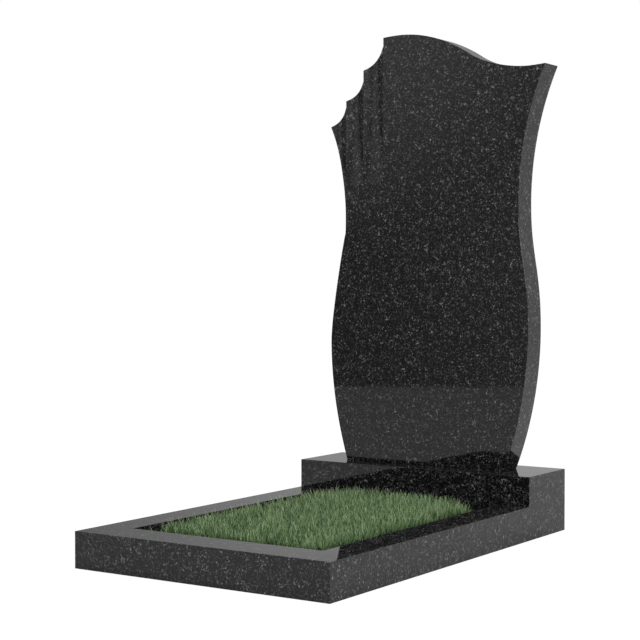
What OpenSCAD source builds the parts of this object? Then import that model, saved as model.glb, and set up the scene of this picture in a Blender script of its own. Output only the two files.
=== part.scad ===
// Granite grave set: a carved stele on a pedestal, with a kerb of three bars
// around a planted bed. The stones stand on the ground plane at z = 0, the
// foot of the grave faces -Y, and the origin is the centre of the plot.

/* [Plot] */
// Width of the plot across the kerb and the pedestal
plot_w = 650; // [550:1:800]
// Length of the kerb, from its front face to the pedestal
kerb_l = 850; // [600:1:1100]
// Width of the joint between neighbouring stones
joint_w = 0.2; // [0.1:0.1:0.5]

/* [Kerb] */
// Height of the kerb bars
kerb_h = 80; // [50:1:110]
// Width of the two side bars
side_bar_w = 80; // [50:1:110]
// Width of the front bar
front_bar_w = 95; // [50:1:130]

/* [Turf] */
// Drop from the top of the kerb to the soil
soil_drop = 20; // [8:1:40]

/* [Pedestal] */
// Height of the pedestal
pedestal_h = 150; // [120:1:220]
// Depth of the pedestal, front to back
pedestal_d = 195; // [130:1:260]

/* [Stele] */
// Thickness of the slab
stele_t = 70; // [50:1:100]
// Height of the crown above the pedestal
stele_h = 1074; // [880:1:1400]
// Width of the foot on the pedestal
foot_w = 448; // [380:1:520]

/* [Stele, right side] */
// Reach of the belly from the centre line
right_belly = 289; // [270:1:330]
// Height of the belly above the pedestal
right_belly_z = 343; // [240:1:430]
// Reach of the waist from the centre line
right_waist = 262; // [230:1:290]
// Height of the waist above the pedestal
right_waist_z = 648; // [540:1:740]
// Reach of the pointed shoulder from the centre line
right_tip = 331; // [275:1:400]
// Drop from the crown to the pointed shoulder
right_tip_drop = 99; // [60:1:130]

/* [Stele, left side] */
// Reach of the belly from the centre line
left_belly = 273; // [250:1:330]
// Height of the belly above the pedestal
left_belly_z = 306; // [220:1:390]
// Reach of the notch where the two left curves meet
left_neck = 230; // [190:1:250]
// Height of that notch above the pedestal
left_neck_z = 581; // [480:1:650]

/* [Stele, top] */
// Crown, measured left from the centre line
crown_left = 66; // [40:1:90]
// Middle of the falling curve, measured right from the centre line
fall_right = 130; // [90:1:160]
// Drop from the crown to the middle of the falling curve
fall_drop = 62; // [45:1:75]
// Lowest point beside the shoulder, measured right from the centre line
trough_right = 285; // [220:1:300]
// Drop from the crown to that lowest point
trough_drop = 102; // [85:1:115]

/* [Stele, scallops] */
// Reach of the four points left of the centre line, from the crown outwards
point_reach = [117, 176, 228, 274]; // [100:1:340]
// Drop from the crown to each of the four points
point_drop = [3, 81, 155, 219]; // [2:1:270]
// Upright edge below each of the upper three points
lip = [21, 28, 17]; // [8:1:34]
// Radius of the three scallops
scallop_r = [100, 82, 82]; // [72:1:160]

/* [Stele, flutes] */
// Depth of each flute where it opens into its scallop
flute_depth = 7; // [3:0.5:10]
// Flat land left between neighbouring flutes
flute_land = 2; // [1:0.5:6]
// Drop from the crown to the place where the flutes have run out
flute_foot_drop = 385; // [330:1:480]

/* [Hidden] */

granite = [0.13, 0.13, 0.14];
granite_light = [0.2, 0.2, 0.21];
grass_green = [0.26, 0.38, 0.22];

set_l = kerb_l + pedestal_d;
front_y = -set_l / 2;
pedestal_y = front_y + kerb_l;
soil_z = kerb_h - soil_drop;
bed_w = plot_w - 2 * side_bar_w;

stele_y = pedestal_y + pedestal_d / 2;
face_y = stele_y - stele_t / 2;
cut_over = 20;
curve_steps = 18;

// Directions of travel along the outline, in degrees from +X
up = 90;
left = 180;

// A key of a curve: where it is, and its direction and pull on the way in and
// on the way out. The pull is a share of the way to the neighbouring key.
function key(x, z, dir_in, pull_in, dir_out, pull_out) =
    [[x, z], dir_in, pull_in, dir_out, pull_out];

function heading(a) = [cos(a), sin(a)];

function bezier(p, t) =
    pow(1 - t, 3) * p[0] + 3 * pow(1 - t, 2) * t * p[1]
    + 3 * (1 - t) * t * t * p[2] + pow(t, 3) * p[3];

// The four control points between two keys
function span(a, b) =
    let (way = norm(b[0] - a[0]))
    [a[0], a[0] + a[4] * way * heading(a[3]), b[0] - b[2] * way * heading(b[1]), b[0]];

// Points along all the keys, without the last one
function curve(keys) = [
    for (i = [0 : len(keys) - 2], s = [0 : curve_steps - 1])
        bezier(span(keys[i], keys[i + 1]), s / curve_steps)
];

// Hollow arc from a down to b, which bulges into the stone on the right
function hollow_arc(a, b, r) =
    let (chord = norm(b - a), mid = (a + b) / 2, along = (b - a) / chord,
         centre = mid + sqrt(r * r - chord * chord / 4) * [along[1], -along[0]],
         from = atan2(a[1] - centre[1], a[0] - centre[0]),
         to = atan2(b[1] - centre[1], b[0] - centre[0]))
    [for (s = [0 : curve_steps - 1])
        centre + r * heading(from + (to - from) * s / curve_steps)];

right_side = curve([
    key(foot_w / 2, 0, up, 0, up - 22, 0.28),
    key(right_belly, right_belly_z, up, 0.37, up, 0.48),
    key(right_waist, right_waist_z, up, 0.42, up, 0.41),
    key(right_tip, stele_h - right_tip_drop, up - 24, 0.26, up, 0)
]);

top_side = curve([
    key(right_tip, stele_h - right_tip_drop, left, 0, left + 6, 0.27),
    key(trough_right, stele_h - trough_drop, left, 0.18, left, 0.43),
    key(fall_right, stele_h - fall_drop, left - 33, 0.19, left - 33, 0.28),
    key(-crown_left, stele_h, left, 0.39, left, 0.27),
    key(-point_reach[0], stele_h - point_drop[0], left + 7, 0.27, left, 0)
]);

left_side = curve([
    key(-point_reach[3], stele_h - point_drop[3], -up, 0, -up + 18, 0.09),
    key(-left_neck, left_neck_z, -up - 3, 0.54, -up - 24, 0.04),
    key(-left_belly, left_belly_z, -up, 0.23, -up, 0.44),
    key(-foot_w / 2, 0, -up + 17, 0.2, -up, 0)
]);

points = [for (i = [0 : 3]) [-point_reach[i], stele_h - point_drop[i]]];

// Each scallop: its upper point, the upright lip below it, then the arc
scallops = [
    for (i = [0 : 2])
        each concat([points[i]], hollow_arc(points[i] - [0, lip[i]], points[i + 1], scallop_r[i]))
];

outline = concat(right_side, top_side, scallops, left_side, [[-foot_w / 2, 0]]);

// One flute between two neighbouring points: a round that leans into the stone,
// deepest at the upper point's height and run out on the face at the foot
module flute(x_in, x_out, top_drop) {
    half = (x_out - x_in - flute_land) / 2;
    r = (half * half + flute_depth * flute_depth) / (2 * flute_depth);
    run = flute_foot_drop - top_drop;
    translate([-(x_in + x_out) / 2, face_y, stele_h - flute_foot_drop])
        rotate([-atan(flute_depth / run), 0, 0])
            translate([0, -r, -cut_over])
                cylinder(h = run + 2 * cut_over, r = r, $fn = 180);
}

module stele() {
    color(granite)
        translate([0, 0, pedestal_h])
            difference() {
                translate([0, face_y + stele_t, 0])
                    rotate([90, 0, 0])
                        linear_extrude(stele_t)
                            polygon(outline);
                for (i = [0 : 2])
                    flute(point_reach[i], point_reach[i + 1], point_drop[i]);
            }
}

module pedestal() {
    color(granite_light)
        translate([-plot_w / 2, pedestal_y, 0])
            cube([plot_w, pedestal_d, pedestal_h]);
}

// The bars meet in mitres at the two front corners
module front_kerb() {
    color(granite_light)
        linear_extrude(kerb_h)
            polygon([
                [-plot_w / 2, front_y],
                [plot_w / 2, front_y],
                [bed_w / 2, front_y + front_bar_w],
                [-bed_w / 2, front_y + front_bar_w]
            ]);
}

module side_kerb() {
    linear_extrude(kerb_h)
        polygon([
            [plot_w / 2, front_y + joint_w],
            [plot_w / 2, pedestal_y - joint_w],
            [bed_w / 2, pedestal_y - joint_w],
            [bed_w / 2, front_y + front_bar_w + joint_w]
        ]);
}

module left_kerb() {
    color(granite)
        mirror([1, 0, 0])
            side_kerb();
}

module right_kerb() {
    color(granite)
        side_kerb();
}

// Soil bed of the grass, cut off flat at the ground
module turf() {
    bed_y = front_y + front_bar_w + joint_w;
    color(grass_green)
        translate([-bed_w / 2 + joint_w, bed_y, 0])
            cube([bed_w - 2 * joint_w, pedestal_y - joint_w - bed_y, soil_z]);
}

stele();
pedestal();
front_kerb();
left_kerb();
right_kerb();
turf();
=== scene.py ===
import math

import bpy
import numpy as np
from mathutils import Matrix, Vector


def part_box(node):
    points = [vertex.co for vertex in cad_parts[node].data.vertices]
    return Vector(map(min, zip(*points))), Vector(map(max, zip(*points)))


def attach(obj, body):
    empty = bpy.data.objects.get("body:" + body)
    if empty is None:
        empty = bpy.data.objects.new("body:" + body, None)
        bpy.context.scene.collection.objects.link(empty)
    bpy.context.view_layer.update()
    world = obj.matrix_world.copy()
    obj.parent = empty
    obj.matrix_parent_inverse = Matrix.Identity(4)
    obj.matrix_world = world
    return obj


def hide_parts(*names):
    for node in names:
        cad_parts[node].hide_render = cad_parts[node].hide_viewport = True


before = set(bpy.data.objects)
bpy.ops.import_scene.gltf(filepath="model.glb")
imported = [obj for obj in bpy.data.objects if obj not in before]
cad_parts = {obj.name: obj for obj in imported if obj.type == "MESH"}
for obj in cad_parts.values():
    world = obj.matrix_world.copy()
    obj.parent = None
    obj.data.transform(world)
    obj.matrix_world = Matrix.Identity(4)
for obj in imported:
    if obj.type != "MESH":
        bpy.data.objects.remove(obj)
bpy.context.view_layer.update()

# Polished black granite grave set: stele, pedestal, kerb of three bars and a grass bed.
# The frame gives every place in metres; mm turns a size in millimetres into metres.
mm = 0.001
print("frame loaded:", sorted(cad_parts))


def deselectAll():
    if bpy.context.object and bpy.context.object.mode != "OBJECT":
        bpy.ops.object.mode_set(mode="OBJECT")
    bpy.ops.object.select_all(action="DESELECT")


def activate(piece):
    deselectAll()
    piece.select_set(True)
    bpy.context.view_layer.objects.active = piece


def applyPlace(piece):
    activate(piece)
    bpy.ops.object.transform_apply(location=True, rotation=True, scale=True)


def applyModifier(piece, kind, **settings):
    activate(piece)
    modifier = piece.modifiers.new(kind.lower(), kind)
    for name, value in settings.items():
        setattr(modifier, name, value)
    bpy.ops.object.modifier_apply(modifier=modifier.name)


def editOnly(piece, kind, elements, wanted):
    # edit mode with only the elements selected for which wanted(element) holds
    activate(piece)
    bpy.ops.object.mode_set(mode="EDIT")
    bpy.ops.mesh.select_mode(type=kind)
    bpy.ops.mesh.select_all(action="DESELECT")
    bpy.ops.object.mode_set(mode="OBJECT")
    for element in getattr(piece.data, elements):
        element.select = bool(wanted(element))
    bpy.ops.object.mode_set(mode="EDIT")


def editVertices(piece, wanted):
    # wanted takes the vertex's place
    editOnly(piece, "VERT", "vertices", lambda vertex: wanted(vertex.co))


def editEdges(piece, wanted):
    # wanted takes the places of the edge's two ends
    editOnly(piece, "EDGE", "edges",
             lambda edge: wanted(*(piece.data.vertices[end].co for end in edge.vertices)))


def editFaces(piece, wanted):
    # wanted takes the face's normal and centre
    editOnly(piece, "FACE", "polygons", lambda face: wanted(face.normal, face.center))


def leaveEdit():
    bpy.ops.object.mode_set(mode="OBJECT")


def addBlock(name, low, high):
    deselectAll()
    bpy.ops.mesh.primitive_cube_add(size=1, location=(low + high) / 2)
    block = bpy.context.object
    block.name = name
    block.data.name = name
    block.scale = high - low
    applyPlace(block)
    return block


def finishStone(piece, smoothAngle):
    # flat faces stay mirror flat, rounds and arrises shade smoothly
    activate(piece)
    bpy.ops.object.shade_smooth_by_angle(angle=math.radians(smoothAngle))
    applyModifier(piece, "WEIGHTED_NORMAL", keep_sharp=True, weight=50)


def takeOver(piece, node, material):
    piece.data.materials.clear()
    piece.data.materials.append(material)
    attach(piece, "root")
    if node:
        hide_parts(node)
    print("piece ready:", piece.name, len(piece.data.polygons), "faces")


def toLinear(hexColour):
    channels = [int(hexColour[i:i + 2], 16) / 255 for i in (1, 3, 5)]
    return tuple(c / 12.92 if c <= 0.04045 else ((c + 0.055) / 1.055) ** 2.4 for c in channels) + (1,)


def addNode(tree, kind, settings=None, links=None):
    # settings are the node's own values or its sockets', by name or by number
    node = tree.nodes.new(kind)
    for name, value in (settings or {}).items():
        if isinstance(name, int) or name in node.inputs:
            node.inputs[name].default_value = value
        else:
            setattr(node, name, value)
    for name, socket in (links or {}).items():
        tree.links.new(socket, node.inputs[name])
    return node


def addRamp(tree, factor, stops):
    ramp = addNode(tree, "ShaderNodeValToRGB", links={"Fac": factor})
    elements = ramp.color_ramp.elements
    while len(elements) < len(stops):
        elements.new(0.5)
    for element, (place, colour) in zip(elements, stops):
        element.position = place
        element.color = toLinear(colour)
    return ramp.outputs["Color"]


def newMaterial(name):
    material = bpy.data.materials.new(name)
    material.use_nodes = True
    return material, material.node_tree, material.node_tree.nodes["Principled BSDF"]


graniteLook = {
    "tones": [
        (0.0, "#0e0e0f"),      # the dense dark crystals between the flecks
        (0.18, "#1c1c1d"),     # grey haze around the flecks
        (0.6, "#4b4b4c"),      # feldspar laths
        (1.0, "#8a8a8b"),      # the few laths that catch the light
    ],
    "ior": 1.5,
    "roughness": (0.03, 0.048),    # of the ground and of the brightest flecks
    # laths: size of the winding lines and of the bits they are cut to, in mm; half width of a
    # line and the cut's threshold, both as noise values; strength; and a shift of the pattern
    "laths": [
        {"spacing": 9, "cut": 6, "width": 0.070, "threshold": 0.47, "strength": 0.50, "shift": 0.0},
        {"spacing": 6, "cut": 4.5, "width": 0.080, "threshold": 0.45, "strength": 0.42, "shift": 3.7},
    ],
    "thresholdSpan": 0.1,
    # single grains: spacing in mm, radius as a share of it, share left out, strength
    "specks": [
        {"spacing": 3.6, "radius": 0.5, "leftOut": 0.25, "strength": 0.52},
        {"spacing": 13, "radius": 0.42, "leftOut": 0.50, "strength": 0.36},
    ],
    "softEdge": 0.3,               # share of a lath's or grain's half width that has full strength
    "cloudSize": 17,               # mm
    "cloudRange": (0.34, 0.62),
    "cloudStrength": (0.5, 1.2),
}


def lathLayer(tree, coords, layer):
    # the middle contour of a noise is a thin winding line; a second noise cuts it into short laths
    moved = addNode(tree, "ShaderNodeMapping", {"Location": (layer["shift"],) * 3}, {"Vector": coords})
    line = addNode(tree, "ShaderNodeTexNoise",
                   {"Scale": 1 / (layer["spacing"] * mm), "Detail": 1.0, "Roughness": 0.4,
                    "Distortion": 0.6},
                   {"Vector": moved.outputs[0]})
    off = addNode(tree, "ShaderNodeMath", {"operation": "SUBTRACT", 1: 0.5}, {0: line.outputs["Fac"]})
    away = addNode(tree, "ShaderNodeMath", {"operation": "ABSOLUTE"}, {0: off.outputs[0]})
    thin = addNode(tree, "ShaderNodeMapRange",
                   {"From Min": layer["width"], "From Max": layer["width"] * graniteLook["softEdge"]},
                   {"Value": away.outputs[0]})
    cut = addNode(tree, "ShaderNodeTexNoise",
                  {"Scale": 1 / (layer["cut"] * mm), "Detail": 0.0, "Distortion": 0.3},
                  {"Vector": moved.outputs[0]})
    kept = addNode(tree, "ShaderNodeMapRange",
                   {"From Min": layer["threshold"],
                    "From Max": layer["threshold"] + graniteLook["thresholdSpan"]},
                   {"Value": cut.outputs["Fac"]})
    lath = addNode(tree, "ShaderNodeMath", {"operation": "MULTIPLY"},
                   {0: thin.outputs[0], 1: kept.outputs[0]})
    return addNode(tree, "ShaderNodeMath", {"operation": "MULTIPLY", 1: layer["strength"]},
                   {0: lath.outputs[0]}).outputs[0]


def speckLayer(tree, coords, layer):
    # round grains, one to a cell, of which only some show
    cells = addNode(tree, "ShaderNodeTexVoronoi", {"Scale": 1 / (layer["spacing"] * mm)},
                    {"Vector": coords})
    dot = addNode(tree, "ShaderNodeMapRange",
                  {"From Min": layer["radius"], "From Max": layer["radius"] * graniteLook["softEdge"]},
                  {"Value": cells.outputs["Distance"]})
    draw = addNode(tree, "ShaderNodeSeparateColor", links={"Color": cells.outputs["Color"]})
    chosen = addNode(tree, "ShaderNodeMapRange",
                     {"From Min": layer["leftOut"], "From Max": 1.0, "To Max": layer["strength"]},
                     {"Value": draw.outputs[0]})
    return addNode(tree, "ShaderNodeMath", {"operation": "MULTIPLY"},
                   {0: dot.outputs[0], 1: chosen.outputs[0]}).outputs[0]


def makePolishedGranite():
    # Karelian gabbro, sawn, ground and polished to a mirror: nearly black, with short pale laths
    # under a clear gloss that reflects weakly face on and strongly at a low angle
    look = graniteLook
    material, tree, shader = newMaterial("polishedBlackGranite")
    coords = addNode(tree, "ShaderNodeTexCoord").outputs["Object"]
    parts = [lathLayer(tree, coords, layer) for layer in look["laths"]]
    parts += [speckLayer(tree, coords, layer) for layer in look["specks"]]
    total = parts[0]
    for part in parts[1:]:
        total = addNode(tree, "ShaderNodeMath", {"operation": "ADD"}, {0: total, 1: part}).outputs[0]
    # the flecks gather in clouds and leave dark patches between them
    cloud = addNode(tree, "ShaderNodeTexNoise",
                    {"Scale": 1 / (look["cloudSize"] * mm), "Detail": 2.0, "Roughness": 0.6},
                    {"Vector": coords})
    thin, thick = look["cloudRange"]
    weak, strong = look["cloudStrength"]
    dense = addNode(tree, "ShaderNodeMapRange",
                    {"From Min": thin, "From Max": thick, "To Min": weak, "To Max": strong},
                    {"Value": cloud.outputs["Fac"]})
    total = addNode(tree, "ShaderNodeMath", {"operation": "MULTIPLY", "use_clamp": True},
                    {0: total, 1: dense.outputs[0]}).outputs[0]
    colour = addRamp(tree, total, look["tones"])
    # the flecks are a little less smooth than the ground
    smooth, rough = look["roughness"]
    gloss = addNode(tree, "ShaderNodeMapRange", {"To Min": smooth, "To Max": rough}, {"Value": total})
    tree.links.new(colour, shader.inputs["Base Color"])
    tree.links.new(gloss.outputs[0], shader.inputs["Roughness"])
    shader.inputs["IOR"].default_value = look["ior"]
    return material


soilLook = {
    "tones": [(0.35, "#0d0a07"), (0.75, "#2a2119")],
    "crumb": 4,                # mm
    "relief": 1,               # mm
    "reliefStrength": 0.6,
    "roughness": 0.95,
}


def makeSoil():
    # damp topsoil: dark crumbs, no gloss
    look = soilLook
    material, tree, shader = newMaterial("dampTopsoil")
    coords = addNode(tree, "ShaderNodeTexCoord").outputs["Object"]
    crumbs = addNode(tree, "ShaderNodeTexNoise", {"Scale": 1 / (look["crumb"] * mm), "Detail": 4.0},
                     {"Vector": coords})
    colour = addRamp(tree, crumbs.outputs["Fac"], look["tones"])
    bump = addNode(tree, "ShaderNodeBump",
                   {"Strength": look["reliefStrength"], "Distance": look["relief"] * mm},
                   {"Height": crumbs.outputs["Fac"]})
    tree.links.new(colour, shader.inputs["Base Color"])
    tree.links.new(bump.outputs[0], shader.inputs["Normal"])
    shader.inputs["Roughness"].default_value = look["roughness"]
    return material


grassLook = {
    "heights": (0.2, 0.7, 1.0),                  # the places of the tones up each blade
    # each row of tones runs from a near-black root, painted shade among the crowded blades, up to a pale tip
    # that is partly dry and partly a painted sheen
    "fresh": ("#080d04", "#2c4622", "#7a9963"),
    "dry": ("#0f160a", "#7c9f64", "#cbdcb8"),
    "roughness": 0.65,
    "specular": 0.25,          # the shine is kept low; the pale base colour carries a painted sheen instead
}


def makeGrassBlade():
    # short lawn grass: waxy mid green, darker towards the root, which is painted shade, and paler at the
    # tip, partly dry tips and partly a painted sheen
    look = grassLook
    material, tree, shader = newMaterial("lawnGrassBlade")
    height = addNode(tree, "ShaderNodeAttribute", {"attribute_name": "bladeHeight"}).outputs["Fac"]
    tone = addNode(tree, "ShaderNodeAttribute", {"attribute_name": "bladeTone"}).outputs["Fac"]
    fresh, dry = [addRamp(tree, height, list(zip(look["heights"], look[kind]))) for kind in ("fresh", "dry")]
    colour = addNode(tree, "ShaderNodeMix", {"data_type": "RGBA"}, {0: tone, 6: fresh, 7: dry})
    tree.links.new(colour.outputs[2], shader.inputs["Base Color"])
    shader.inputs["Roughness"].default_value = look["roughness"]
    shader.inputs["Specular IOR Level"].default_value = look["specular"]
    return material


granite = makePolishedGranite()
soil = makeSoil()
grassBlade = makeGrassBlade()
print("materials ready")


edgeFinish = {
    "arris": 0.8,          # mm, the small chamfer that the mason rubs on every exposed edge
    "segments": 3,
    "sharpAngle": 35,      # degrees; faces that turn by more than this have an edge between them
}
arris = edgeFinish["arris"] * mm

steleLow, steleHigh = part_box("stele")
pedestalLow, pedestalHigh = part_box("pedestal")

# Directions of travel along the outline are in degrees from +X, places in mm from the
# centre line and above the pedestal, and a pull is a share of the way to the next key.
steleShape = {
    "rightSide": [
        {"at": (224, 0), "out": (68, 0.28)},
        {"at": (289, 343), "in": (90, 0.37), "out": (90, 0.48)},
        {"at": (262, 648), "in": (90, 0.42), "out": (90, 0.41)},
        {"at": (331, 975), "in": (66, 0.26), "out": (186, 0.27)},
        {"at": (285, 972), "in": (180, 0.18), "out": (180, 0.43)},
        {"at": (130, 1012), "in": (147, 0.19), "out": (147, 0.28)},
        {"at": (-66, 1074), "in": (180, 0.39), "out": (180, 0.27)},
    ],
    "crownEnd": (187, 0.27),                       # the way in to the first scallop point
    "points": [(-117, 1071), (-176, 993), (-228, 919), (-274, 855)],
    "lips": [21, 28, 17],                          # upright edge below each upper point
    "scallops": [100, 82, 82],                     # radius of each hollow
    "leftStart": (-72, 0.09),                      # the way out of the last scallop point
    "leftSide": [
        {"at": (-230, 581), "in": (-93, 0.54), "out": (-114, 0.04)},
        {"at": (-273, 306), "in": (-90, 0.23), "out": (-90, 0.44)},
        {"at": (-224, 0), "in": (-73, 0.2)},
    ],
    "curveSteps": 32,
    "weld": 0.02,                                  # mm, points nearer than this become one
    "smoothAngle": 4,                              # degrees, so the flutes keep crisp edges
    "fluteDepth": 7,
    "fluteLand": 2,
    "fluteFoot": 689,                              # height at which the flutes have run out
    "fluteColumns": 40,
    "fluteRows": 16,
    # how far the cutter reaches past its flute: upwards, sideways as a factor, out of the face,
    # and in front of the face at the foot
    "cutterAbove": 40,
    "cutterWider": 1.12,
    "cutterProud": 20,
    "cutterClear": 0.3,
}


def heading(angle):
    return Vector((math.cos(math.radians(angle)), math.sin(math.radians(angle)), 0))


def steleKeys():
    # the keys of the outline as (place, handle in, handle out), in metres; None is a straight handle
    shape = steleShape
    keys = list(shape["rightSide"])
    points = shape["points"]
    keys.append({"at": points[0], "in": shape["crownEnd"]})
    for upper, lower, lip, radius in zip(points, points[1:], shape["lips"], shape["scallops"]):
        start = Vector((upper[0], upper[1] - lip, 0))
        chord = Vector((lower[0], lower[1], 0)) - start
        half = math.asin(chord.length / 2 / radius)
        pull = 4 / 3 * math.tan(half / 2) * radius / chord.length      # a Bezier span that is an arc
        along = math.degrees(math.atan2(chord.y, chord.x))
        keys.append({"at": start.to_tuple()[:2], "out": (along + math.degrees(half), pull)})
        keys.append({"at": lower, "in": (along - math.degrees(half), pull)})
    keys[-1]["out"] = shape["leftStart"]
    keys += shape["leftSide"]
    placed = []
    for i, key in enumerate(keys):
        here = Vector((*key["at"], 0)) * mm
        before = Vector((*keys[i - 1]["at"], 0)) * mm
        after = Vector((*keys[(i + 1) % len(keys)]["at"], 0)) * mm
        handles = []
        for side, other, sign in (("in", before, -1), ("out", after, 1)):
            if side in key:
                angle, pull = key[side]
                handles.append(here + sign * pull * (other - here).length * heading(angle))
            else:
                handles.append(None)
        placed.append((here, *handles))
    return placed


def addSteleSlab():
    shape = steleShape
    keys = steleKeys()
    deselectAll()
    bpy.ops.curve.primitive_bezier_curve_add()
    outline = bpy.context.object
    curve = outline.data
    curve.dimensions = "2D"
    curve.fill_mode = "BOTH"
    curve.resolution_u = shape["curveSteps"]
    spline = curve.splines[0]
    spline.bezier_points.add(len(keys) - len(spline.bezier_points))
    spline.use_cyclic_u = True
    for point, (here, handleIn, handleOut) in zip(spline.bezier_points, keys):
        point.handle_left_type = "FREE" if handleIn else "VECTOR"
        point.handle_right_type = "FREE" if handleOut else "VECTOR"
        point.co = here
        point.handle_left = handleIn or here
        point.handle_right = handleOut or here
    curve.extrude = (steleHigh.y - steleLow.y) / 2
    bpy.ops.object.convert(target="MESH")
    slab = bpy.context.object
    slab.name = "steleSlab"
    slab.data.name = "steleSlab"
    # the outline was drawn lying down, so the slab is stood up on the pedestal
    slab.rotation_euler.x = math.radians(90)
    slab.location = (0, (steleLow.y + steleHigh.y) / 2, steleLow.z)
    applyPlace(slab)
    bpy.ops.object.mode_set(mode="EDIT")
    bpy.ops.mesh.select_all(action="SELECT")
    bpy.ops.mesh.remove_doubles(threshold=shape["weld"] * mm)
    bpy.ops.mesh.normals_make_consistent(inside=False)
    leaveEdit()
    # the filled outline's triangles on the front and on the back become one face each
    flat = 0.999
    for side in (-1, 1):
        editFaces(slab, lambda normal, centre: normal.y * side > flat)
        bpy.ops.mesh.dissolve_faces()
        leaveEdit()
    applyModifier(slab, "BEVEL", width=arris, segments=edgeFinish["segments"], limit_method="ANGLE",
                  angle_limit=math.radians(edgeFinish["sharpAngle"]), miter_outer="MITER_ARC")
    for upper, lower in zip(shape["points"], shape["points"][1:]):
        cutFlute(slab, -upper[0], -lower[0], upper[1])
    finishStone(slab, shape["smoothAngle"])
    return slab


def cutFlute(slab, inner, outer, top):
    # a hollow between two upright edges: deepest at the point's height, run out at the foot
    shape = steleShape
    chord = (outer - inner - shape["fluteLand"]) * mm
    foot = steleLow.z + shape["fluteFoot"] * mm
    run = (top - shape["fluteFoot"]) * mm
    above = shape["cutterAbove"] * mm
    clear = shape["cutterClear"] * mm
    deselectAll()
    bpy.ops.mesh.primitive_grid_add(x_subdivisions=shape["fluteColumns"],
                                    y_subdivisions=shape["fluteRows"], size=1)
    cutter = bpy.context.object
    for vertex in cutter.data.vertices:
        across = vertex.co.x * 2 * shape["cutterWider"]
        height = (vertex.co.y + 0.5) * (run + above)
        depth = shape["fluteDepth"] * mm * height / run * (1 - across ** 2)
        if height < clear:
            depth = -clear       # the lowest row stands in front of the face
        vertex.co = (-(inner + outer) / 2 * mm + across * chord / 2, steleLow.y + depth, foot + height)
    bpy.ops.object.mode_set(mode="EDIT")
    bpy.ops.mesh.select_all(action="SELECT")
    bpy.ops.mesh.extrude_region_move(
        TRANSFORM_OT_translate={"value": (0, -shape["cutterProud"] * mm, 0)})
    bpy.ops.mesh.select_all(action="SELECT")
    bpy.ops.mesh.normals_make_consistent(inside=False)
    leaveEdit()
    applyModifier(slab, "BOOLEAN", object=cutter, operation="DIFFERENCE", solver="EXACT")
    bpy.data.objects.remove(cutter)


slab = addSteleSlab()
takeOver(slab, "stele", granite)


def addPedestalBlock():
    block = addBlock("pedestalBlock", pedestalLow, pedestalHigh)
    editEdges(block, lambda a, b: a.z > pedestalLow.z + arris or b.z > pedestalLow.z + arris)
    bpy.ops.mesh.bevel(offset=arris, segments=edgeFinish["segments"])
    leaveEdit()
    finishStone(block, edgeFinish["sharpAngle"])
    return block


pedestal = addPedestalBlock()
takeOver(pedestal, "pedestal", granite)


def rubLongEdges(bar, axis):
    # the arris runs along the bar; the sawn mitres keep their sharp edges so the joint closes
    longEdge = 200 * mm
    editEdges(bar, lambda a, b: abs(a[axis] - b[axis]) > longEdge and abs(a.z - b.z) < arris and a.z > arris)
    bpy.ops.mesh.bevel(offset=arris, segments=edgeFinish["segments"])
    leaveEdit()
    finishStone(bar, edgeFinish["sharpAngle"])


def addFrontKerbBar():
    low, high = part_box("front_kerb")
    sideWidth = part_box("left_kerb")[1].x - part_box("left_kerb")[0].x
    bar = addBlock("frontKerbBar", low, high)
    for side in (-1, 1):
        editVertices(bar, lambda place: place.y > high.y - arris and place.x * side > 0)
        bpy.ops.transform.translate(value=(-side * sideWidth, 0, 0))
        leaveEdit()
    rubLongEdges(bar, 0)
    return bar


def addSideKerbBar(name, node):
    low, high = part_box(node)
    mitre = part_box("front_kerb")[1].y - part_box("front_kerb")[0].y
    side = 1 if low.x > 0 else -1
    bar = addBlock(name, low, high)
    inner = low.x if side > 0 else high.x
    editVertices(bar, lambda place: place.y < low.y + arris and abs(place.x - inner) < arris)
    bpy.ops.transform.translate(value=(0, mitre, 0))
    leaveEdit()
    rubLongEdges(bar, 1)
    return bar


frontBar = addFrontKerbBar()
takeOver(frontBar, "front_kerb", granite)
leftBar = addSideKerbBar("leftKerbBar", "left_kerb")
takeOver(leftBar, "left_kerb", granite)
rightBar = addSideKerbBar("rightKerbBar", "right_kerb")
takeOver(rightBar, "right_kerb", granite)


bedLow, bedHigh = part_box("turf")

# sizes in mm
soilShape = {
    "cell": 6,
    "lump": 45,
    "unevenness": 5,
    "middle": 0.9,         # nearly all of the unevenness goes down from the level of the soil
    "edge": 1,             # the rim that stays level
}


def addTurfSoil():
    # a block of soil whose top is left raked and uneven
    shape = soilShape
    bed = addBlock("turfSoil", bedLow, bedHigh)
    for axis in (0, 1):
        count = round((bedHigh[axis] - bedLow[axis]) / (shape["cell"] * mm))
        for i in range(1, count):
            cut = bedLow.copy()
            cut[axis] += (bedHigh[axis] - bedLow[axis]) * i / count
            editFaces(bed, lambda normal, centre: normal.z > 0.5)
            bpy.ops.mesh.bisect(plane_co=cut, plane_no=(axis == 0, axis == 1, 0))
    leaveEdit()
    top = bed.vertex_groups.new(name="rakedTop")
    edge = shape["edge"] * mm
    inside = [v.index for v in bed.data.vertices
              if v.co.z > bedHigh.z - edge
              and bedLow.x + edge < v.co.x < bedHigh.x - edge
              and bedLow.y + edge < v.co.y < bedHigh.y - edge]
    top.add(inside, 1, "REPLACE")
    lumps = bpy.data.textures.new("soilLumps", "CLOUDS")
    lumps.noise_scale = shape["lump"] * mm
    applyModifier(bed, "DISPLACE", texture=lumps, texture_coords="LOCAL", direction="Z",
                  strength=shape["unevenness"] * mm, mid_level=shape["middle"],
                  vertex_group="rakedTop")
    activate(bed)
    bpy.ops.object.shade_smooth_by_angle(angle=math.radians(edgeFinish["sharpAngle"]))
    return bed


bed = addTurfSoil()
takeOver(bed, "turf", soil)

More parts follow.
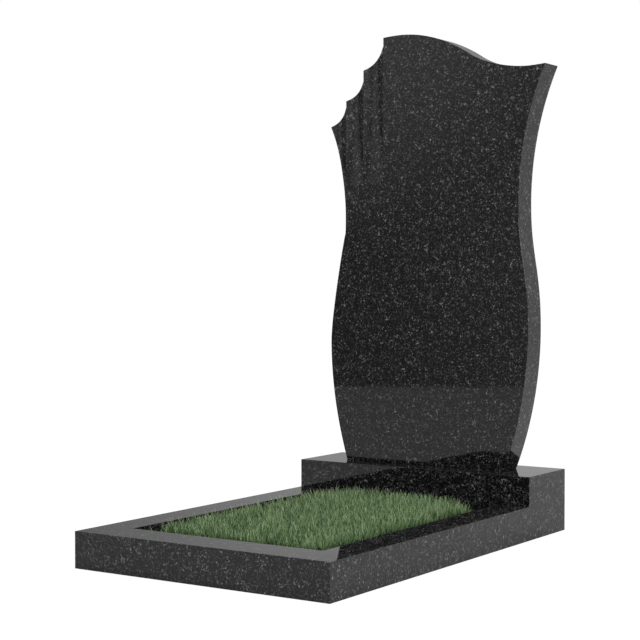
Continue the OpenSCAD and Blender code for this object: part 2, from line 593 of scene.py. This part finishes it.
# sizes in mm, angles in degrees; a pair is the least and the most
grassShape = {
    "seed": 11,
    "beds": 3,                  # meshes that share the blades, to stay light
    "tufts": 3300,
    "blades": 8,                # in each tuft
    "spread": 7,                # of a tuft's roots
    "length": (22, 46),
    "tuftLength": (0.85, 1.1),  # some tufts are longer all over
    "width": (1.2, 2.1),
    "lean": (2, 22),            # at the root
    "curl": (4, 38),            # more of it at the tip
    "stray": 0.9,               # radians that a blade strays from leaning straight out of its tuft
    "twist": 0.5,               # radians that its flat side turns away
    "bladeSections": [(0.4, 1.55), (0.75, 2.6)],   # height and widening of the plain taper there
    "bladeThickness": 0.35,     # as a share of that of an even-sided blade
    "tuftTone": (0.5, 0.26),    # fresh to dry, its mean and scatter
    "bladeTone": 0.36,          # more scatter from blade to blade
    "gapLeft": 46,
    "gapRight": 12,
    "gapFront": 3,
    "gapBack": 8,
    "gapRoot": 4,               # no root stands nearer to the stones
    "backRight": 130,           # how far the patch falls short at its back corners
    "backLeft": 55,
    "bowRight": 2.5,            # how late the back edge bows away; 1 would be a straight line
    "bowLeft": 3,
    "rootDepth": 3,
}


def modelBlade():
    # one blade of grass, a unit long and wide: a slim three-sided body that tapers to a point
    shape = grassShape
    deselectAll()
    bpy.ops.mesh.primitive_cone_add(vertices=3, radius1=0.5, radius2=0, depth=1, location=(0, 0, 0.5))
    blade = bpy.context.object
    applyPlace(blade)
    for height, _ in shape["bladeSections"]:
        bpy.ops.object.mode_set(mode="EDIT")
        bpy.ops.mesh.select_all(action="SELECT")
        bpy.ops.mesh.bisect(plane_co=(0, 0, height), plane_no=(0, 0, 1))
        leaveEdit()
    # a blade keeps its width for most of its length
    for height, wider in shape["bladeSections"]:
        editVertices(blade, lambda place: abs(place.z - height) < 0.01)
        bpy.ops.transform.resize(value=(wider, wider, 1), center_override=(0, 0, height))
        leaveEdit()
    editVertices(blade, lambda place: True)
    bpy.ops.transform.resize(value=(1, shape["bladeThickness"], 1), center_override=(0, 0, 0))
    leaveEdit()
    points = np.array([v.co for v in blade.data.vertices])
    faces = [list(face.vertices) for face in blade.data.polygons]
    bpy.data.objects.remove(blade)
    return points, faces


def tuftRoots(rng):
    shape = grassShape
    left = bedLow.x + shape["gapLeft"] * mm
    right = bedHigh.x - shape["gapRight"] * mm
    front = bedLow.y + shape["gapFront"] * mm
    back = bedHigh.y - shape["gapBack"] * mm
    x = rng.uniform(left, right, shape["tufts"])
    y = rng.uniform(front, back, shape["tufts"])
    # the back edge of the patch bows away from the pedestal towards both corners
    middle = (left + right) / 2
    bow = np.where(x > middle,
                   shape["backRight"] * ((x - middle) / (right - middle)) ** shape["bowRight"],
                   shape["backLeft"] * ((middle - x) / (middle - left)) ** shape["bowLeft"]) * mm
    share = (y - front) / (back - front)
    y = front + share * (back - bow - front)
    return np.stack([x, y], axis=1)


def growGrass():
    shape = grassShape
    rng = np.random.default_rng(shape["seed"])
    template, faces = modelBlade()
    roots = tuftRoots(rng)
    count = shape["tufts"] * shape["blades"]
    tuft = np.repeat(np.arange(shape["tufts"]), shape["blades"])
    offset = rng.normal(0, shape["spread"] * mm / 2, (count, 2))
    root = roots[tuft] + offset
    gap = shape["gapRoot"] * mm
    for axis in (0, 1):
        root[:, axis] = np.clip(root[:, axis], bedLow[axis] + gap, bedHigh[axis] - gap)
    tuftLength = rng.uniform(*shape["tuftLength"], shape["tufts"])
    length = rng.uniform(*shape["length"], count) * mm * tuftLength[tuft]
    width = rng.uniform(*shape["width"], count) * mm
    lean = np.radians(rng.uniform(*shape["lean"], count))
    curl = np.radians(rng.uniform(*shape["curl"], count))
    # blades lean out of their tuft, with some scatter
    away = np.arctan2(offset[:, 1], offset[:, 0]) + rng.normal(0, shape["stray"], count)
    facing = away + np.clip(rng.normal(0, shape["twist"], count), -1, 1)
    tuftTone = rng.normal(*shape["tuftTone"], shape["tufts"])
    tone = np.clip(tuftTone[tuft] + rng.normal(0, shape["bladeTone"], count), 0, 1)
    # each blade bends evenly along an arc; out and up are the places of the template's points on it
    height = template[:, 2]
    bent = lean[:, None] + curl[:, None] * height[None, :]
    out = length[:, None] * (np.cos(lean)[:, None] - np.cos(bent)) / curl[:, None]
    up = length[:, None] * (np.sin(bent) - np.sin(lean)[:, None]) / curl[:, None]
    across = template[None, :, 0] * width[:, None]
    keel = template[None, :, 1] * width[:, None]
    places = np.empty((count, len(template), 3))
    places[:, :, 0] = (root[:, 0, None] + np.cos(away)[:, None] * (out + keel)
                       + np.sin(facing)[:, None] * across)
    places[:, :, 1] = (root[:, 1, None] + np.sin(away)[:, None] * (out + keel)
                       - np.cos(facing)[:, None] * across)
    places[:, :, 2] = bedHigh.z - shape["rootDepth"] * mm + up
    share = np.array_split(np.arange(count), shape["beds"])
    for i, members in enumerate(share):
        vertices = places[members].reshape(-1, 3)
        allFaces = []
        for k in range(len(members)):
            start = k * len(template)
            allFaces.extend([[start + corner for corner in face] for face in faces])
        mesh = bpy.data.meshes.new(f"grass{i + 1}")
        mesh.from_pydata(vertices.tolist(), [], allFaces)
        heightLayer = mesh.attributes.new("bladeHeight", "FLOAT", "POINT")
        heightLayer.data.foreach_set("value", np.tile(height, len(members)).astype(np.float32))
        toneLayer = mesh.attributes.new("bladeTone", "FLOAT", "POINT")
        toneLayer.data.foreach_set("value", np.repeat(tone[members], len(template)).astype(np.float32))
        patch = bpy.data.objects.new(f"grass{i + 1}", mesh)
        patch.visible_glossy = False      # the stones mirror only one another and the studio
        bpy.context.scene.collection.objects.link(patch)
        takeOver(patch, None, grassBlade)


growGrass()


# Metres. A matt pale floor that ends about 5 m in front of the stele, which mirrors its edge.
floorShape = {
    "radius": 14.0,
    "centre": (4.57, 8.3),
    "segments": 256,
    "drop": 0.0005,          # under the stones, so that their feet don't flicker in it
    "paint": 0.60,           # how much light it gives back to the stones and the grass
    "seenPaint": 0.12,       # for the camera only a faint contact shadow is laid on an even glow
    "seenGlow": 0.93,
}

oneMirror = 1.5              # with more mirror bounces than this, a stone is seen in another stone


def makeFloor():
    shape = floorShape
    deselectAll()
    bpy.ops.mesh.primitive_circle_add(vertices=shape["segments"], radius=shape["radius"],
                                      fill_type="NGON", location=(*shape["centre"], -shape["drop"]))
    floor = bpy.context.object
    floor.name = "studioFloor"
    material, tree, shader = newMaterial("paleStudioFloor")
    tree.nodes.remove(shader)
    output = tree.nodes["Material Output"]
    paint = addNode(tree, "ShaderNodeBsdfDiffuse", {"Color": (*[shape["paint"]] * 3, 1)})
    dark = addNode(tree, "ShaderNodeEmission", {"Strength": 0.0})
    seenPaint = addNode(tree, "ShaderNodeBsdfDiffuse", {"Color": (*[shape["seenPaint"]] * 3, 1)})
    glow = addNode(tree, "ShaderNodeEmission", {"Strength": shape["seenGlow"]})
    seen = addNode(tree, "ShaderNodeAddShader", links={0: seenPaint.outputs[0], 1: glow.outputs[0]})
    # a stone that is itself seen in another stone mirrors a dark floor
    rays = addNode(tree, "ShaderNodeLightPath")
    again = addNode(tree, "ShaderNodeMath", {"operation": "GREATER_THAN", 1: oneMirror},
                    {0: rays.outputs["Glossy Depth"]})
    lit = addNode(tree, "ShaderNodeMixShader",
                  links={0: again.outputs[0], 1: paint.outputs[0], 2: dark.outputs[0]})
    mix = addNode(tree, "ShaderNodeMixShader",
                  links={0: rays.outputs["Is Camera Ray"], 1: lit.outputs[0], 2: seen.outputs[0]})
    tree.links.new(mix.outputs[0], output.inputs["Surface"])
    floor.data.materials.append(material)


# What the polished faces mirror is a low ring, brighter towards the ceiling, with soft fields on
# it. Edge and full are cosines of the angle from a field's middle, where it starts and where it
# is full, and a gain below zero makes it a dark flag. A plain dome lights everything that is matt.
studioLight = {
    "dome": (0.68, 1.30),        # at the horizon and overhead
    "backdrop": 1.0,             # what the camera sees behind the object
    "ring": 0.20,
    "ceiling": 0.85,
    "rise": (0.1, 0.9),          # the height, as a sine, over which the ring turns to ceiling
    "fields": [
        {"towards": (0.35, -0.93, 0.15), "edge": 0.57, "full": 0.98, "gain": 0.75},
        {"towards": (0.0, 0.99, 0.12), "edge": 0.68, "full": 0.93, "gain": 0.50},
        {"towards": (-0.597, -0.765, 0.242), "edge": 0.966, "full": 0.9945, "gain": 0.66},
        {"towards": (-1.0, 0.0, 0.1), "edge": 0.60, "full": 0.95, "gain": 0.20},
        {"towards": (-0.9, -0.42, 0.12), "edge": 0.80, "full": 0.94, "gain": -0.15},
        {"towards": (-0.384, 0.817, 0.432), "edge": 0.945, "full": 0.985, "gain": -0.33},
    ],
}


def makeStudioLight():
    light = studioLight
    world = bpy.data.worlds.new("studio")
    bpy.context.scene.world = world
    world.use_nodes = True
    tree = world.node_tree
    tree.nodes.clear()
    direction = addNode(tree, "ShaderNodeTexCoord").outputs["Generated"]
    height = addNode(tree, "ShaderNodeSeparateXYZ", links={0: direction}).outputs["Z"]
    start, end = light["rise"]
    total = addNode(tree, "ShaderNodeMapRange",
                    {"From Min": start, "From Max": end, "To Min": light["ring"],
                     "To Max": light["ceiling"], "interpolation_type": "SMOOTHSTEP"},
                    {"Value": height}).outputs[0]
    for field in light["fields"]:
        facing = addNode(tree, "ShaderNodeVectorMath",
                         {"operation": "DOT_PRODUCT", 1: Vector(field["towards"]).normalized()},
                         {0: direction})
        glow = addNode(tree, "ShaderNodeMapRange",
                       {"From Min": field["edge"], "From Max": field["full"], "To Max": field["gain"],
                        "interpolation_type": "SMOOTHSTEP"}, {"Value": facing.outputs["Value"]})
        total = addNode(tree, "ShaderNodeMath", {"operation": "ADD"},
                        {0: total, 1: glow.outputs[0]}).outputs[0]
    # a stone that is itself seen in another stone mirrors no light, so the corners stay black
    rays = addNode(tree, "ShaderNodeLightPath")
    once = addNode(tree, "ShaderNodeMath", {"operation": "LESS_THAN", 1: oneMirror},
                   {0: rays.outputs["Glossy Depth"]})
    mirrored = addNode(tree, "ShaderNodeMath", {"operation": "MULTIPLY"},
                       {0: total, 1: once.outputs[0]})
    studio = addNode(tree, "ShaderNodeBackground", links={"Strength": mirrored.outputs[0]})
    low, high = light["dome"]
    even = addNode(tree, "ShaderNodeMapRange", {"To Min": low, "To Max": high}, {"Value": height})
    dome = addNode(tree, "ShaderNodeBackground", links={"Strength": even.outputs[0]})
    backdrop = addNode(tree, "ShaderNodeBackground",
                       {"Color": (1, 1, 1, 1), "Strength": light["backdrop"]})
    around = addNode(tree, "ShaderNodeMixShader",
                     links={0: rays.outputs["Is Glossy Ray"], 1: dome.outputs[0], 2: studio.outputs[0]})
    seen = addNode(tree, "ShaderNodeMixShader",
                   links={0: rays.outputs["Is Camera Ray"], 1: around.outputs[0], 2: backdrop.outputs[0]})
    addNode(tree, "ShaderNodeOutputWorld", links={"Surface": seen.outputs[0]})


# metres and watts; a round softbox on the right that faces the middle of the plot
sideSoftbox = {"place": (3.3, -1.0, 1.9), "size": 1.8, "power": 62}


def addSoftbox(name, softbox):
    deselectAll()
    bpy.ops.object.light_add(type="AREA", location=softbox["place"])
    lamp = bpy.context.object
    lamp.name = name
    lamp.data.shape = "DISK"
    lamp.data.size = softbox["size"]
    lamp.data.energy = softbox["power"]
    lamp.rotation_euler = (-Vector(softbox["place"])).to_track_quat("-Z", "Y").to_euler()


# metres, degrees, and the lens and its sensor's width in mm
cameraView = {"place": (1.954, -2.9895, 0.624), "pitch": 88.36, "turn": 33.80, "lens": 88.1, "sensor": 36}


def placeCamera():
    view = cameraView
    bpy.ops.object.camera_add(location=view["place"],
                              rotation=(math.radians(view["pitch"]), 0, math.radians(view["turn"])))
    camera = bpy.context.object
    camera.data.lens = view["lens"]
    camera.data.sensor_width = view["sensor"]
    bpy.context.scene.camera = camera


makeFloor()
makeStudioLight()
addSoftbox("sideSoftbox", sideSoftbox)
placeCamera()
bpy.context.scene.view_settings.view_transform = "Standard"
print("studio ready")
